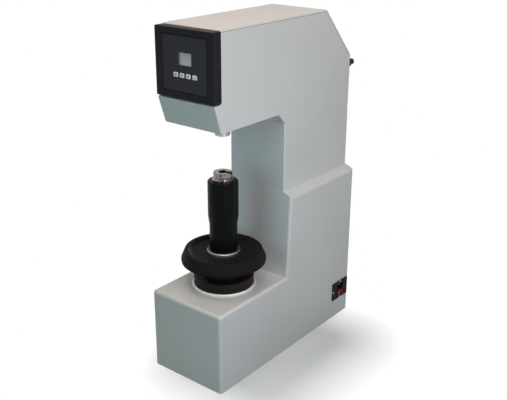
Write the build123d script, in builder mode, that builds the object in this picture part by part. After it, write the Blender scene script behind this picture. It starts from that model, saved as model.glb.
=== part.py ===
from build123d import *
import math
import os

os.makedirs("parts", exist_ok=True)

# The origin is the foot of the test axis: the line of the elevating screw and the
# spindle, where it meets the floor. The front is -Y, the right side is +X.

# ---- lower housing: base block and lower column
base_width = 230
base_front = 148            # test axis to the front face
base_back = 432             # test axis to the back face
table_height = 219          # floor to the table round the screw
table_edge_radius = 9
housing_edge_radius = 8
table_root_radius = 16      # where the table meets the column
lower_wall = 5
shoulder_gap = 209          # head's underside to the top of the shoulder
shoulder_drop = 10          # fall of the shoulder towards each side
wheel_room = 13.5           # handwheel to the column, at the table
column_lean = 11            # how far the column falls back up to the shoulder
throat_height = 443         # table to the head's underside

# ---- upper housing: column and head
head_width = 178
head_depth = 235            # top of the head to its underside
head_setback = 4            # base's back to the head's
throat_setback = 1          # lower column to the upper one
throat_chamfer = 26
chin_front = 128            # test axis to the chin's upper edge
chin_setback = 23           # how far the chin falls back at its foot
chin_height = 69
panel_seat = 103.5          # test axis to the wall that carries the bezel
slope_depth = 120           # how far the rear slope reaches in from the back
slope_drop = 130
upper_wall = 3
head_edge_radius = 3
cover_lip = 5               # depth of the top cover's turned edge
cover_flange = 52           # foot of the rear slope to the cover's lower edge
spindle_hole_margin = 5
tab_size = 20               # welded tabs that take the cover knobs
tab_depth = 10

# ---- fits
running_clearance = 0.05    # shaft in its bush
sliding_clearance = 0.4     # key, plunger or sleeve in its opening
seat_clearance = 0.3        # where one piece drops into another
free_gap = 1                # between pieces that turn past each other
stop_gap = 2                # left at the end of the lift's travel
stop_clearance = 0.5        # left at the end of a short travel

# ---- elevating screw, nut and bearing
screw_radius = 30
lift_down = 74
screw_foot_gap = 6          # left under the screw when the lift is down
keyway_width = 8
keyway_depth = 4
bush_wall = 6
bush_height = 130
key_bar_length = 80
key_bar_rise = 24           # foot of the bush to the foot of the key
nut_wall = 6
nut_flange = 8
nut_screw_count = 4
nut_screw_radius = 2
nut_screw_length = 15
race_width = 15
race_height = 7
ball_radius = 6
ball_count = 12
collar_height = 25
collar_floor = 10           # thickness of the cup under the bearing
collar_skirt = 7            # wall of the cup below the flange
collar_flange = 17.5        # how far the flange stands out past the cup
collar_bolt_count = 3
collar_bolt_radius = 4
collar_bolt_margin = 11.5   # bolt circle to the flange's edge
collar_bolt_sink = 20       # how far a bolt goes into the casting
collar_head_radius = 6.5
collar_head = 6
collar_head_sink = 4
collar_edge = 2
collar_pad = 24             # thickness of the casting's pad under the collar
trim_height = 6
trim_width = 3.5

# ---- handwheel
wheel_radius = 110.5
wheel_flare = 10.5          # widest line of the rim to its top
wheel_clearance = 68        # collar's top to the rim's top
wheel_rim_height = 32
wheel_web = 9
wheel_dish = 7              # how far the face is dished below the rim
wheel_lip = 9               # width of the rim's flat lip
wheel_rim_edge = 1.5
wheel_bulge = 8             # foot of the rim to its widest line
wheel_bulge_radius = 12
wheel_skirt = 3             # how far the rim's inside leans in from its top radius
hub_margin = 3              # bearing race to the edge of the hub
hub_ring_width = 6.4
hub_ring_height = 8

# ---- sleeves and anvil seat
sleeve_gap = 3              # screw to the lower sleeve
sleeve_wall = 2.6
sleeve_play = 0.8           # lower sleeve to the bore of the upper one
sleeve_overlap = 14
sleeve_taper = 18
sleeve_cap = 8
sleeve_edge = 3
seat_flange_radius = 27.8
seat_flange = 4
seat_ring_radius = 24.1
seat_waist_radius = 22.2
seat_height = 21.6          # flange underside to the seat's top
seat_stem_radius = 18
seat_stem_length = 42
anvil_bore_radius = 10
anvil_bore_depth = 40
anvil_slot_width = 12
anvil_slot_turn = 15        # degrees from the right side towards the back
anvil_slot_depth = 5

# ---- spindle and loading mechanism
spindle_radius = 19
nose_height = 40            # how far the nose stands below the head
daylight = 95.4             # anvil seat to the nose, with the lift as drawn
nose_screw_rise = 12        # foot of the nose to its screw
spindle_head = 6            # flange on the spindle's top
spindle_stroke = 3
indenter_bore_radius = 6
indenter_bore_depth = 25
nose_screw_radius = 3
spindle_bush_wall = 7
bush_flange = 4
bush_flange_width = 8
cell_radius = 24
cell_height = 28
cell_button_radius = 5
cell_button_height = 6
lever_gap = 0.6             # contact gaps of the lever at rest
lever_pivot_offset = 70     # test axis to the lever's pivot
lever_pin_radius = 10
lever_bush_wall = 4
lever_half_width = 16
lever_side_gap = 1.3
lever_front = 24
lever_depth = 42
lever_tail_depth = 20
lever_tail = 20             # how far the lever reaches past the load screw
load_screw_radius = 10
load_screw_tip = 29.5       # its top end to the top of the push pad
load_nut_drop = 22          # head's underside to the foot of the load nut
load_nut_height = 60
load_nut_radius = 22
push_tube_radius = 15
push_tube_play = 15         # room over the screw's tip
push_pad_radius = 6
journal_radius = 8
journal_drop = 12           # bracket to the foot of the journal
gear_module = 2
driven_teeth = 36
pinion_teeth = 16
gear_width = 14
gear_rise = 14              # bracket's underside to the gears
gear_backlash = 0.3
gear_gap = 4                # driven gear to the casting
motor_radius = 30
motor_length = 120
motor_gap = 17              # motor to the housing's back wall
motor_edge = 4
motor_shaft_radius = 5
motor_shaft_sink = 15
bearing_radius = 16
bearing_height = 14
bracket_rise = 3            # shoulder to the bracket
bracket_thickness = 8
bracket_half_width = 46
bracket_leg = 60
bracket_margin = 6          # motor to the bracket's edge
support_drop = 87           # head's underside to the foot of the screw's upper support
support_thickness = 15
support_half_width = 24
rail_drop = 37              # head's underside to the foot of the rail
rail_half_width = 10
rail_depth = 6
rail_height = 100

# ---- C-frame casting
base_plate_thickness = 12
frame_half_width = 58
frame_web = 26
frame_flange = 24
frame_front = 112
frame_foot_setback = 40     # base's back to the casting's foot
frame_table_drop = 23       # table to the face that carries the collar
frame_column_gap = 14       # upper column's front to the casting's column
frame_head_rise = 10        # head's underside to the underside of the casting's head
frame_head_depth = 90
frame_head_front = 62
boss_wall = 12
lug_width = 22
lug_wall = 11
foot_bolt_radius = 6
foot_bolt_inset = 22
foot_bolt_head_radius = 9
foot_bolt_head = 8
foot_bolt_reach = 18        # how far a bolt goes into the casting
supply_gap = 4              # casting to the power supply
supply_width = 42
supply_length = 120
supply_height = 70
supply_front = 180          # test axis to the front of the power supply

# ---- display box
bezel_height = 161
bezel_drop = 2.5            # top of the head to the top of the bezel
bezel_depth = 26.5
bezel_wall = 3
bezel_corner = 3
bezel_edge = 2
recess_width = 142
recess_height = 133
recess_depth = 3.5
recess_slope = 30           # degrees that the recess's walls lean
recess_corner = 3
plate_thickness = 1.2
window_width = 39
window_height = 29
window_rise = 12            # bezel's middle to the window's
field_offset = 2.5          # the window and keys sit this far to the right
module_margin = 5
key_width = 13.4
key_height = 10.4
key_corner = 2.2
key_pitch = 19.4
key_drop = 25.2             # bezel's middle to the keys
key_proud = 1.2
key_travel = 0.8
key_flange = 1.4
key_flange_margin = 1.5
key_stem_radius = 2
key_edge = 0.5
standoff_radius = 3
standoff_inset = 5
switch_size = 6
board_setback = 13          # bezel face to the board's front
board_thickness = 1.6
board_width = 124
board_height = 108
board_margin = 5

# ---- power inlet, on the right side
inlet_width = 77
inlet_height = 55
inlet_back_margin = 8
inlet_bottom = 54.7
inlet_thickness = 2.5
inlet_corner = 3
inlet_cutout_margin = 10    # plate's edge to the cut-out behind it
socket_width = 27.4
socket_height = 18
socket_rise = 39.3          # foot of the plate to the middle of the socket
socket_depth = 20
socket_wall = 1.2
contact_width = 4
contact_thickness = 2
contact_spread = 7          # socket's middle to the two line blades
contact_setback = 3         # socket's mouth to the blades' tips
rocker_width = 28
rocker_height = 20
rocker_rise = 17.3          # foot of the plate to the rocker's axis
rocker_tilt = 8
rocker_frame = 1.6
rocker_horn = 6.5           # rocker axis to the ends of its face
rocker_hollow = 4.2         # rocker axis to the middle of its face
rocker_root = 4
rocker_pocket = 13
switch_rim = 1
inlet_screw_radius = 1.5
inlet_screw_head = 2.4
inlet_screw_crown = 1.4
inlet_screw_inset = 2.8
inlet_screw_length = 8

# ---- cover knobs
knob_offset = 75
knob_drop = 26              # foot of the rear slope to the knobs
knob_flange_radius = 12.5
knob_flange = 11.5
knob_radius = 8.5
knob_length = 30.5
knob_edge = 2
knob_stud_radius = 3.5


def save(builder, name):
    builder.part.label = name
    export_step(builder.part, f"parts/{name}.step")


# ---- worked-out sizes of the housings
side = base_width / 2
head_side = head_width / 2
base_depth = base_front + base_back
base_middle = (base_back - base_front) / 2
column_foot = wheel_radius + wheel_room
column_shoulder = column_foot + column_lean
throat_depth = column_shoulder + throat_setback
head_underside = table_height + throat_height
head_height = head_underside + head_depth
head_back = base_back - head_setback
slope_start = head_back - slope_depth
slope_end_height = head_height - slope_drop
shoulder_height = head_underside - shoulder_gap
shoulder_side = shoulder_height - shoulder_drop
cover_flange_height = slope_end_height - cover_flange
knob_level = slope_end_height - knob_drop

# ---- worked-out sizes of the lift
frame_table = table_height - frame_table_drop
collar_foot = table_height + trim_height
collar_top = collar_foot + collar_height
nut_radius = screw_radius + nut_wall
race_inner_radius = nut_radius + stop_gap
race_outer_radius = race_inner_radius + race_width
race_seat = frame_table + collar_floor
ball_level = race_seat + race_height + ball_radius
ball_pitch_radius = (race_outer_radius + race_inner_radius) / 2
hub_bottom = ball_level + ball_radius + seat_clearance + race_height
hub_radius = race_outer_radius - hub_margin
collar_bore_radius = race_outer_radius + free_gap
collar_cup_radius = race_outer_radius + collar_skirt
collar_radius = collar_cup_radius + free_gap + collar_flange
collar_hole_radius = collar_cup_radius + free_gap
collar_bolts = PolarLocations(collar_radius - collar_bolt_margin, collar_bolt_count, start_angle=-90)
collar_bolt_tip = frame_table - collar_bolt_sink
lower_sleeve_bore = screw_radius + sleeve_gap
lower_sleeve_radius = lower_sleeve_bore + sleeve_wall
upper_sleeve_bore = lower_sleeve_radius + sleeve_play
upper_sleeve_radius = upper_sleeve_bore + sleeve_wall
hub_ring_bore = lower_sleeve_radius + seat_clearance
hub_ring_radius = hub_ring_bore + hub_ring_width
nut_flange_radius = hub_ring_radius + sliding_clearance
nut_screws_at = PolarLocations((nut_radius + nut_flange_radius) / 2, nut_screw_count)
wheel_top_radius = wheel_radius - wheel_flare
wheel_top_height = collar_top + wheel_clearance
wheel_rim_bottom = wheel_top_height - wheel_rim_height
wheel_face = wheel_top_height - wheel_dish
nut_bottom = race_seat + stop_gap
nut_top = wheel_face - stop_gap
hub_ring_top = wheel_face + hub_ring_height
upper_sleeve_bottom = hub_ring_top + lift_down + stop_gap
lower_sleeve_top = upper_sleeve_bottom + sleeve_overlap
nose_bottom = head_underside - nose_height
seat_flange_height = nose_bottom - daylight - seat_height
screw_top = seat_flange_height - sleeve_cap
screw_bottom = base_plate_thickness + lift_down + screw_foot_gap
bush_bottom = frame_table - bush_height
key_bar_bottom = bush_bottom + key_bar_rise
key_bar_reach = screw_radius - keyway_depth + stop_clearance
keyway_top = key_bar_bottom + key_bar_length + lift_down + stop_gap

# ---- worked-out sizes of the loading mechanism
nose_screw_level = nose_bottom + nose_screw_rise
frame_head_bottom = head_underside + frame_head_rise
frame_head_top = frame_head_bottom + frame_head_depth
spindle_top = frame_head_top + bush_flange + spindle_stroke + stop_clearance + spindle_head
cell_top = spindle_top + cell_height + cell_button_height
lever_bottom = cell_top + lever_gap
lever_pivot_height = lever_bottom + lever_depth / 2
push_pad_top = lever_bottom - lever_gap
bracket_height = shoulder_height + bracket_rise
bearing_bottom = bracket_height + (bracket_thickness - bearing_height) / 2
gear_height = bracket_height + gear_rise
gear_distance = gear_module * (driven_teeth + pinion_teeth) / 2
motor_offset = base_back - lower_wall - motor_gap - motor_radius
load_screw_offset = motor_offset - gear_distance
frame_foot_back = base_back - frame_foot_setback
frame_column_front = throat_depth + frame_column_gap
frame_column_back = load_screw_offset - gear_module * (driven_teeth / 2 + 1) - gear_gap
bracket_depth = motor_offset + motor_radius + bracket_margin - frame_column_back
load_screw_bottom = bracket_height - journal_drop
load_screw_top = push_pad_top - load_screw_tip
load_nut_bottom = head_underside - load_nut_drop
support_height = head_underside - support_drop
rail_bottom = head_underside - rail_drop
bush_radius = screw_radius + running_clearance + bush_wall
spindle_bush_radius = spindle_radius + running_clearance + spindle_bush_wall
spindle_hole_radius = spindle_radius + spindle_hole_margin
lug_inner = lever_half_width + lever_side_gap
lug_radius = lever_pin_radius + lug_wall
foot_bolt_points = [
    (x, y)
    for x in (foot_bolt_inset - frame_half_width, frame_half_width - foot_bolt_inset)
    for y in (foot_bolt_inset - frame_front, frame_foot_back - foot_bolt_inset)
]
foot_bolt_top = base_plate_thickness + foot_bolt_reach

# ---- worked-out sizes of the display box and the power inlet
bezel_face = panel_seat + bezel_depth
bezel_middle = head_height - bezel_drop - bezel_height / 2
recess_floor = bezel_face - recess_depth
floor_back = recess_floor - bezel_wall
plate_face = recess_floor + plate_thickness
board_face = bezel_face - board_setback
window_middle = (field_offset, bezel_middle + window_rise)
key_points = [(field_offset + key_pitch * (step - 1.5), bezel_middle - key_drop) for step in range(4)]
key_flange_face = floor_back - seat_clearance
stem_end = board_face + switch_size / 2 + sliding_clearance + key_travel
standoff_points = [
    (x, bezel_middle + z)
    for x in (standoff_inset - board_width / 2, board_width / 2 - standoff_inset)
    for z in (standoff_inset - board_height / 2, board_height / 2 - standoff_inset)
]
inlet_centre = base_back - inlet_back_margin - inlet_width / 2
inlet_level = inlet_bottom + inlet_height / 2
plate_front = side + inlet_thickness
socket_point = (inlet_centre, inlet_bottom + socket_rise)
rocker_point = (inlet_centre, inlet_bottom + rocker_rise)
inlet_screw_points = [
    (inlet_centre, inlet_bottom + inlet_screw_inset),
    (inlet_centre, inlet_bottom + inlet_height - inlet_screw_inset),
    (inlet_centre - inlet_width / 2 + inlet_screw_inset, inlet_level),
    (inlet_centre + inlet_width / 2 - inlet_screw_inset, inlet_level),
]


# ---- lower housing: a welded shell, open below, with a round hole in its table and a
# window in its roof for the casting and the drive
def lower_form(inset):
    """The lower housing's outer form, every wall face moved in by inset."""
    with BuildPart() as form:
        with BuildSketch(Plane.YZ) as profile:
            with BuildLine():
                Polyline(
                    (-base_front, -inset),
                    (-base_front, table_height),
                    (column_foot, table_height),
                    (column_shoulder, shoulder_height),
                    (base_back, shoulder_height),
                    (base_back, -inset),
                    close=True,
                )
            make_face()
            front_top, root = profile.vertices().group_by(Axis.Y)[1].sort_by(Axis.X)
            fillet(front_top, table_edge_radius)
            fillet(root, table_root_radius)
            if inset:
                offset(amount=-inset, kind=Kind.INTERSECTION, mode=Mode.REPLACE)
        extrude(amount=side - inset, both=True)
        with BuildSketch(Plane.XZ) as gable:
            with BuildLine():
                Polyline(
                    (-side, -inset),
                    (-side, shoulder_side),
                    (-head_side, shoulder_height),
                    (head_side, shoulder_height),
                    (side, shoulder_side),
                    (side, -inset),
                    close=True,
                )
            make_face()
            if inset:
                offset(amount=-inset, kind=Kind.INTERSECTION, mode=Mode.REPLACE)
        extrude(amount=base_depth + base_width, both=True, mode=Mode.INTERSECT)
        walls = form.faces().filter_by(Axis.X).group_by(Axis.X)
        rim = walls[0].edges() + walls[-1].edges()
        floor_edges = form.faces().sort_by(Axis.Z)[0].edges()
        rounded = [edge for edge in rim if edge not in floor_edges]
        fillet(rounded, housing_edge_radius - inset)
    return form.part


roof_opening_front = column_shoulder + 10
roof_opening_back = head_back - 8
roof_opening_side = head_side - 8

with BuildPart() as lower_housing:
    add(lower_form(0))
    add(lower_form(lower_wall), mode=Mode.SUBTRACT)
    with BuildSketch(Plane.XY.offset(table_height)):
        Circle(collar_hole_radius)
        with collar_bolts:
            Circle(collar_bolt_radius + sliding_clearance)
    extrude(amount=-lower_wall - 1, mode=Mode.SUBTRACT)
    with BuildSketch(Plane.XY.offset(shoulder_height)):
        with Locations((0, (roof_opening_front + roof_opening_back) / 2)):
            Rectangle(2 * roof_opening_side, roof_opening_back - roof_opening_front)
    extrude(amount=-lower_wall - 1, mode=Mode.SUBTRACT)
    with BuildSketch(Plane.YZ.offset(side)):
        with Locations((inlet_centre, inlet_level)):
            Rectangle(inlet_width - 2 * inlet_cutout_margin, inlet_height - inlet_cutout_margin)
        with Locations(*inlet_screw_points):
            Circle(inlet_screw_radius)
    extrude(amount=-lower_wall - 1, mode=Mode.SUBTRACT)
save(lower_housing, "lower_housing")

with BuildPart() as base_plate:
    plate_side = side - lower_wall - seat_clearance
    plate_depth = base_depth - 2 * (lower_wall + seat_clearance)
    with BuildSketch():
        with Locations((0, base_middle)):
            RectangleRounded(2 * plate_side, plate_depth, housing_edge_radius)
    extrude(amount=base_plate_thickness)
    with BuildSketch():
        with Locations(*foot_bolt_points):
            Circle(foot_bolt_head_radius)
    extrude(amount=foot_bolt_head, mode=Mode.SUBTRACT)
    with BuildSketch():
        with Locations(*foot_bolt_points):
            Circle(foot_bolt_radius)
    extrude(amount=base_plate_thickness, mode=Mode.SUBTRACT)
save(base_plate, "base_plate")


# ---- upper housing and top cover: one bent-sheet form, parted along a line that runs
# below the top, behind the rear slope and down the back
def head_form(inset):
    """The column and head's outer form, every wall face moved in by inset."""
    below = shoulder_height - 2 * cover_lip
    with BuildPart() as form:
        with BuildSketch(Plane.YZ) as profile:
            with BuildLine():
                Polyline(
                    (-(chin_front - chin_setback), head_underside),
                    (-chin_front, head_underside + chin_height),
                    (-panel_seat, head_underside + chin_height),
                    (-panel_seat, head_height),
                    (slope_start, head_height),
                    (head_back, slope_end_height),
                    (head_back, below),
                    (throat_depth, below),
                    (throat_depth, head_underside - throat_chamfer),
                    (throat_depth - throat_chamfer, head_underside),
                    close=True,
                )
            make_face()
            if inset:
                offset(amount=-inset, kind=Kind.INTERSECTION, mode=Mode.REPLACE)
            else:
                chin_top = (-panel_seat, head_underside + chin_height)
                rounded = profile.vertices().sort_by_distance(chin_top)[1:]
                fillet(rounded, head_edge_radius + 0.5)
        extrude(amount=head_side - inset, both=True)
        if not inset:
            walls = form.faces().filter_by(Axis.X).group_by(Axis.X)
            fillet(walls[0].edges() + walls[-1].edges(), head_edge_radius)
        split(bisect_by=Plane.XY.offset(shoulder_height), keep=Keep.TOP)
    return form.part


slope_angle = math.atan2(head_height - slope_end_height, head_back - slope_start)
parting_start = slope_start - cover_lip * math.tan(slope_angle / 2)
parting_end = slope_end_height - cover_lip * math.tan((math.pi / 2 - slope_angle) / 2)
knob_points = [(-knob_offset, knob_level), (knob_offset, knob_level)]

with BuildPart() as below_parting:
    with BuildSketch(Plane.YZ):
        with BuildLine():
            Polyline(
                (-2 * base_front, 0),
                (-2 * base_front, head_height - cover_lip),
                (parting_start, head_height - cover_lip),
                (head_back - cover_lip, parting_end),
                (head_back - cover_lip, cover_flange_height),
                (2 * head_back, cover_flange_height),
                (2 * head_back, 0),
                close=True,
            )
        make_face()
    extrude(amount=head_width, both=True)

with BuildPart() as head_shell:
    add(head_form(0))
    add(head_form(upper_wall), mode=Mode.SUBTRACT)

with BuildPart() as top_cover:
    add(head_shell.part)
    add(below_parting.part, mode=Mode.SUBTRACT)
    with BuildSketch(Plane.XZ.offset(-head_back)):
        with Locations(*knob_points):
            Circle(knob_stud_radius + sliding_clearance)
    extrude(amount=upper_wall + 1, mode=Mode.SUBTRACT)
save(top_cover, "top_cover")

with BuildPart() as upper_housing:
    add(head_shell.part)
    add(below_parting.part, mode=Mode.INTERSECT)
    with BuildSketch(Plane.XY.offset(head_underside)):
        Circle(spindle_hole_radius)
    extrude(amount=upper_wall + 1, mode=Mode.SUBTRACT)
    with BuildSketch(Plane.XZ.offset(panel_seat)):
        with Locations((0, bezel_middle)):
            Rectangle(board_width + 2 * board_margin, board_height + 2 * board_margin)
    extrude(amount=-upper_wall - 1, mode=Mode.SUBTRACT)
    tab_back = head_back - upper_wall
    with BuildSketch(Plane.XZ.offset(-tab_back)):
        for direction in (-1, 1):
            tab_middle = direction * (head_side - upper_wall - tab_size / 2)
            with Locations((tab_middle, knob_level)):
                Rectangle(tab_size, tab_size)
        with Locations(*knob_points):
            Circle(knob_stud_radius + running_clearance, mode=Mode.SUBTRACT)
    extrude(amount=tab_depth)
save(upper_housing, "upper_housing")


# ---- C-frame casting: a C outline with a web between its flanges, bored for the screw
# and the spindle, with two lugs on the head for the lever
frame_bottom = base_plate_thickness

with BuildPart() as c_frame:
    with BuildSketch(Plane.YZ) as c_outline:
        with BuildLine():
            Polyline(
                (-frame_front, frame_bottom),
                (-frame_front, frame_table),
                (frame_column_front, frame_table),
                (frame_column_front, frame_head_bottom),
                (-frame_head_front, frame_head_bottom),
                (-frame_head_front, frame_head_top),
                (frame_column_back, frame_head_top),
                (frame_column_back, frame_table),
                (frame_foot_back, frame_table),
                (frame_foot_back, frame_bottom),
                close=True,
            )
        make_face()
    extrude(amount=frame_half_width, both=True)
    with BuildSketch(Plane.YZ.offset(frame_web / 2)):
        add(c_outline.sketch_local)
        offset(amount=-frame_flange, kind=Kind.INTERSECTION, mode=Mode.REPLACE)
    extrude(amount=frame_half_width, mode=Mode.SUBTRACT)
    with BuildSketch(Plane.YZ.offset(-frame_web / 2)):
        add(c_outline.sketch_local)
        offset(amount=-frame_flange, kind=Kind.INTERSECTION, mode=Mode.REPLACE)
    extrude(amount=-frame_half_width, mode=Mode.SUBTRACT)
    with BuildSketch(Plane.XY.offset(frame_bottom)):
        Circle(bush_radius + boss_wall)
    extrude(amount=frame_table - frame_bottom)
    with BuildSketch(Plane.XY.offset(frame_table)):
        Circle(collar_radius)
    extrude(amount=-collar_pad)
    with BuildSketch(Plane.XY.offset(frame_head_bottom)):
        Circle(spindle_bush_radius + boss_wall)
    extrude(amount=frame_head_top - frame_head_bottom)
    with BuildSketch(Plane.YZ.offset(lug_inner)):
        with Locations((lever_pivot_offset, lever_pivot_height)):
            Circle(lug_radius)
        with Locations((lever_pivot_offset, frame_head_top)):
            Rectangle(2 * lug_radius, lever_pivot_height - frame_head_top, align=(Align.CENTER, Align.MIN))
    extrude(amount=lug_width)
    with BuildSketch(Plane.YZ.offset(-lug_inner)):
        with Locations((lever_pivot_offset, lever_pivot_height)):
            Circle(lug_radius)
        with Locations((lever_pivot_offset, frame_head_top)):
            Rectangle(2 * lug_radius, lever_pivot_height - frame_head_top, align=(Align.CENTER, Align.MIN))
    extrude(amount=-lug_width)
    with BuildSketch(Plane.XY.offset(frame_bottom)):
        Circle(bush_radius)
    extrude(amount=frame_table - frame_bottom, mode=Mode.SUBTRACT)
    with BuildSketch(Plane.XY.offset(frame_head_bottom)):
        Circle(spindle_bush_radius)
    extrude(amount=frame_head_top - frame_head_bottom, mode=Mode.SUBTRACT)
    with BuildSketch(Plane.YZ):
        with Locations((lever_pivot_offset, lever_pivot_height)):
            Circle(lever_pin_radius)
    extrude(amount=head_side, both=True, mode=Mode.SUBTRACT)
    with BuildSketch(Plane.XY.offset(frame_bottom)):
        with Locations(*foot_bolt_points):
            Circle(foot_bolt_radius)
    extrude(amount=foot_bolt_reach, mode=Mode.SUBTRACT)
    with BuildSketch(Plane.XY.offset(frame_table)):
        with collar_bolts:
            Circle(collar_bolt_radius)
    extrude(amount=collar_bolt_tip - frame_table, mode=Mode.SUBTRACT)
save(c_frame, "c_frame")


with BuildPart() as foot_bolts:
    with BuildSketch():
        with Locations(*foot_bolt_points):
            Circle(foot_bolt_head_radius)
    extrude(amount=foot_bolt_head)
    with BuildSketch(Plane.XY.offset(foot_bolt_head)):
        with Locations(*foot_bolt_points):
            Circle(foot_bolt_radius)
    extrude(amount=foot_bolt_top - foot_bolt_head)
    with BuildSketch():
        with Locations(*foot_bolt_points):
            RegularPolygon(foot_bolt_radius - 1, 6)
    extrude(amount=foot_bolt_head / 2, mode=Mode.SUBTRACT)
save(foot_bolts, "foot_bolts")


# ---- bearing collar: a flanged cup on the casting, with the thrust bearing inside
with BuildPart() as bearing_collar:
    with BuildSketch(Plane.XZ):
        with BuildLine():
            Polyline(
                (race_inner_radius + 1, frame_table),
                (collar_cup_radius, frame_table),
                (collar_cup_radius, collar_foot),
                (collar_radius, collar_foot),
                (collar_radius, collar_top - collar_edge),
                (collar_radius - collar_edge, collar_top),
                (collar_bore_radius + free_gap, collar_top),
                (collar_bore_radius, collar_top - free_gap),
                (collar_bore_radius, race_seat),
                (race_inner_radius + 1, race_seat),
                close=True,
            )
        make_face()
    revolve(axis=Axis.Z)
    with BuildSketch(Plane.XY.offset(collar_foot)):
        with collar_bolts:
            Circle(collar_bolt_radius + sliding_clearance)
    extrude(amount=collar_height, mode=Mode.SUBTRACT)
    with BuildSketch(Plane.XY.offset(collar_top)):
        with collar_bolts:
            Circle(collar_head_radius + sliding_clearance)
    extrude(amount=-collar_head_sink, mode=Mode.SUBTRACT)
save(bearing_collar, "bearing_collar")

with BuildPart() as collar_screws:
    head_seat = collar_top - collar_head_sink
    with BuildSketch(Plane.XY.offset(collar_bolt_tip)):
        with collar_bolts:
            Circle(collar_bolt_radius)
    extrude(amount=head_seat - collar_bolt_tip)
    with BuildSketch(Plane.XY.offset(head_seat)):
        with collar_bolts:
            Circle(collar_head_radius)
    extrude(amount=collar_head)
    with BuildSketch(Plane.XY.offset(head_seat + collar_head)):
        with collar_bolts:
            RegularPolygon(collar_bolt_radius - 0.5, 6)
    extrude(amount=-collar_head / 2, mode=Mode.SUBTRACT)
save(collar_screws, "collar_screws")

with BuildPart() as collar_trim:
    with BuildSketch(Plane.XY.offset(table_height)):
        Circle(collar_radius + trim_width)
        Circle(collar_hole_radius, mode=Mode.SUBTRACT)
        with collar_bolts:
            Circle(collar_bolt_radius + sliding_clearance, mode=Mode.SUBTRACT)
    extrude(amount=trim_height)
    top_edge = collar_trim.edges().filter_by(GeomType.CIRCLE).group_by(Axis.Z)[-1].sort_by(SortBy.RADIUS)[-1]
    fillet(top_edge, trim_width - free_gap)
save(collar_trim, "collar_trim")

with BuildPart() as lower_race:
    with BuildSketch(Plane.XY.offset(race_seat)):
        Circle(race_outer_radius)
        Circle(race_inner_radius, mode=Mode.SUBTRACT)
    extrude(amount=race_height)
save(lower_race, "lower_race")

with BuildPart() as bearing_balls:
    with Locations((0, 0, ball_level)):
        with PolarLocations(ball_pitch_radius, ball_count):
            Sphere(ball_radius)
save(bearing_balls, "bearing_balls")

with BuildPart() as upper_race:
    with BuildSketch(Plane.XY.offset(hub_bottom - race_height)):
        Circle(race_outer_radius)
        Circle(race_inner_radius, mode=Mode.SUBTRACT)
    extrude(amount=race_height)
save(upper_race, "upper_race")


# ---- guide bush in the casting, with the key that keeps the screw from turning
with BuildPart() as guide_bush:
    with BuildSketch(Plane.XY.offset(bush_bottom)):
        Circle(bush_radius)
        Circle(screw_radius + running_clearance, mode=Mode.SUBTRACT)
    extrude(amount=bush_height)
    with BuildSketch(Plane.XY.offset(key_bar_bottom)):
        with Locations((0, (key_bar_reach + bush_radius) / 2)):
            Rectangle(keyway_width, bush_radius - key_bar_reach + 4)
    extrude(amount=key_bar_length, mode=Mode.SUBTRACT)
save(guide_bush, "guide_bush")

with BuildPart() as guide_key:
    with BuildSketch(Plane.XY.offset(key_bar_bottom)):
        Circle(bush_radius)
        with Locations((0, key_bar_reach)):
            Rectangle(keyway_width, screw_radius, align=(Align.CENTER, Align.MIN), mode=Mode.INTERSECT)
    extrude(amount=key_bar_length)
save(guide_key, "guide_key")


# ---- handwheel: a dished disc with a rolled rim on a long hub, and what turns with it
with BuildPart() as handwheel:
    with BuildSketch(Plane.XZ):
        with BuildLine():
            Polyline(
                (nut_radius, hub_bottom),
                (hub_radius, hub_bottom),
                (hub_radius, wheel_face - wheel_web),
                (wheel_top_radius - wheel_lip, wheel_face - wheel_web),
                (wheel_top_radius - wheel_skirt, wheel_rim_bottom),
                (wheel_radius - wheel_rim_edge, wheel_rim_bottom),
                (wheel_radius, wheel_rim_bottom + wheel_bulge),
                (wheel_top_radius, wheel_top_height),
                (wheel_top_radius - wheel_lip, wheel_top_height),
                (wheel_top_radius - 2 * wheel_lip, wheel_face),
                (nut_flange_radius + seat_clearance, wheel_face),
                (nut_flange_radius + seat_clearance, nut_top - nut_flange),
                (nut_radius, nut_top - nut_flange),
                close=True,
            )
        make_face()
    revolve(axis=Axis.Z)
    circles = handwheel.edges().filter_by(GeomType.CIRCLE)
    fillet(circles.sort_by(SortBy.RADIUS)[-1], wheel_bulge_radius)
    lip = handwheel.edges().filter_by(GeomType.CIRCLE).group_by(Axis.Z)[-1]
    fillet(lip, wheel_rim_edge)
    with BuildSketch(Plane.XY.offset(nut_top)):
        with nut_screws_at:
            Circle(nut_screw_radius)
    extrude(amount=-nut_screw_length, mode=Mode.SUBTRACT)
save(handwheel, "handwheel")

with BuildPart() as lift_nut:
    with BuildSketch(Plane.XY.offset(nut_bottom)):
        Circle(nut_radius)
    extrude(amount=nut_top - nut_bottom)
    with BuildSketch(Plane.XY.offset(nut_top)):
        Circle(nut_flange_radius)
    extrude(amount=-nut_flange)
    with BuildSketch(Plane.XY.offset(nut_bottom)):
        Circle(screw_radius + running_clearance)
        with nut_screws_at:
            Circle(nut_screw_radius)
    extrude(amount=nut_top - nut_bottom, mode=Mode.SUBTRACT)
save(lift_nut, "lift_nut")

with BuildPart() as nut_screws:
    with BuildSketch(Plane.XY.offset(nut_top)):
        with nut_screws_at:
            Circle(nut_screw_radius)
    extrude(amount=-nut_screw_length)
save(nut_screws, "nut_screws")

with BuildPart() as hub_ring:
    with BuildSketch(Plane.XY.offset(nut_top)):
        Circle(hub_ring_radius)
        Circle(hub_ring_bore, mode=Mode.SUBTRACT)
    extrude(amount=hub_ring_top - nut_top)
    crown = hub_ring.edges().filter_by(GeomType.CIRCLE).group_by(Axis.Z)[-1].sort_by(SortBy.RADIUS)[-1]
    chamfer(crown, 2.5)
save(hub_ring, "hub_ring")

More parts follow.
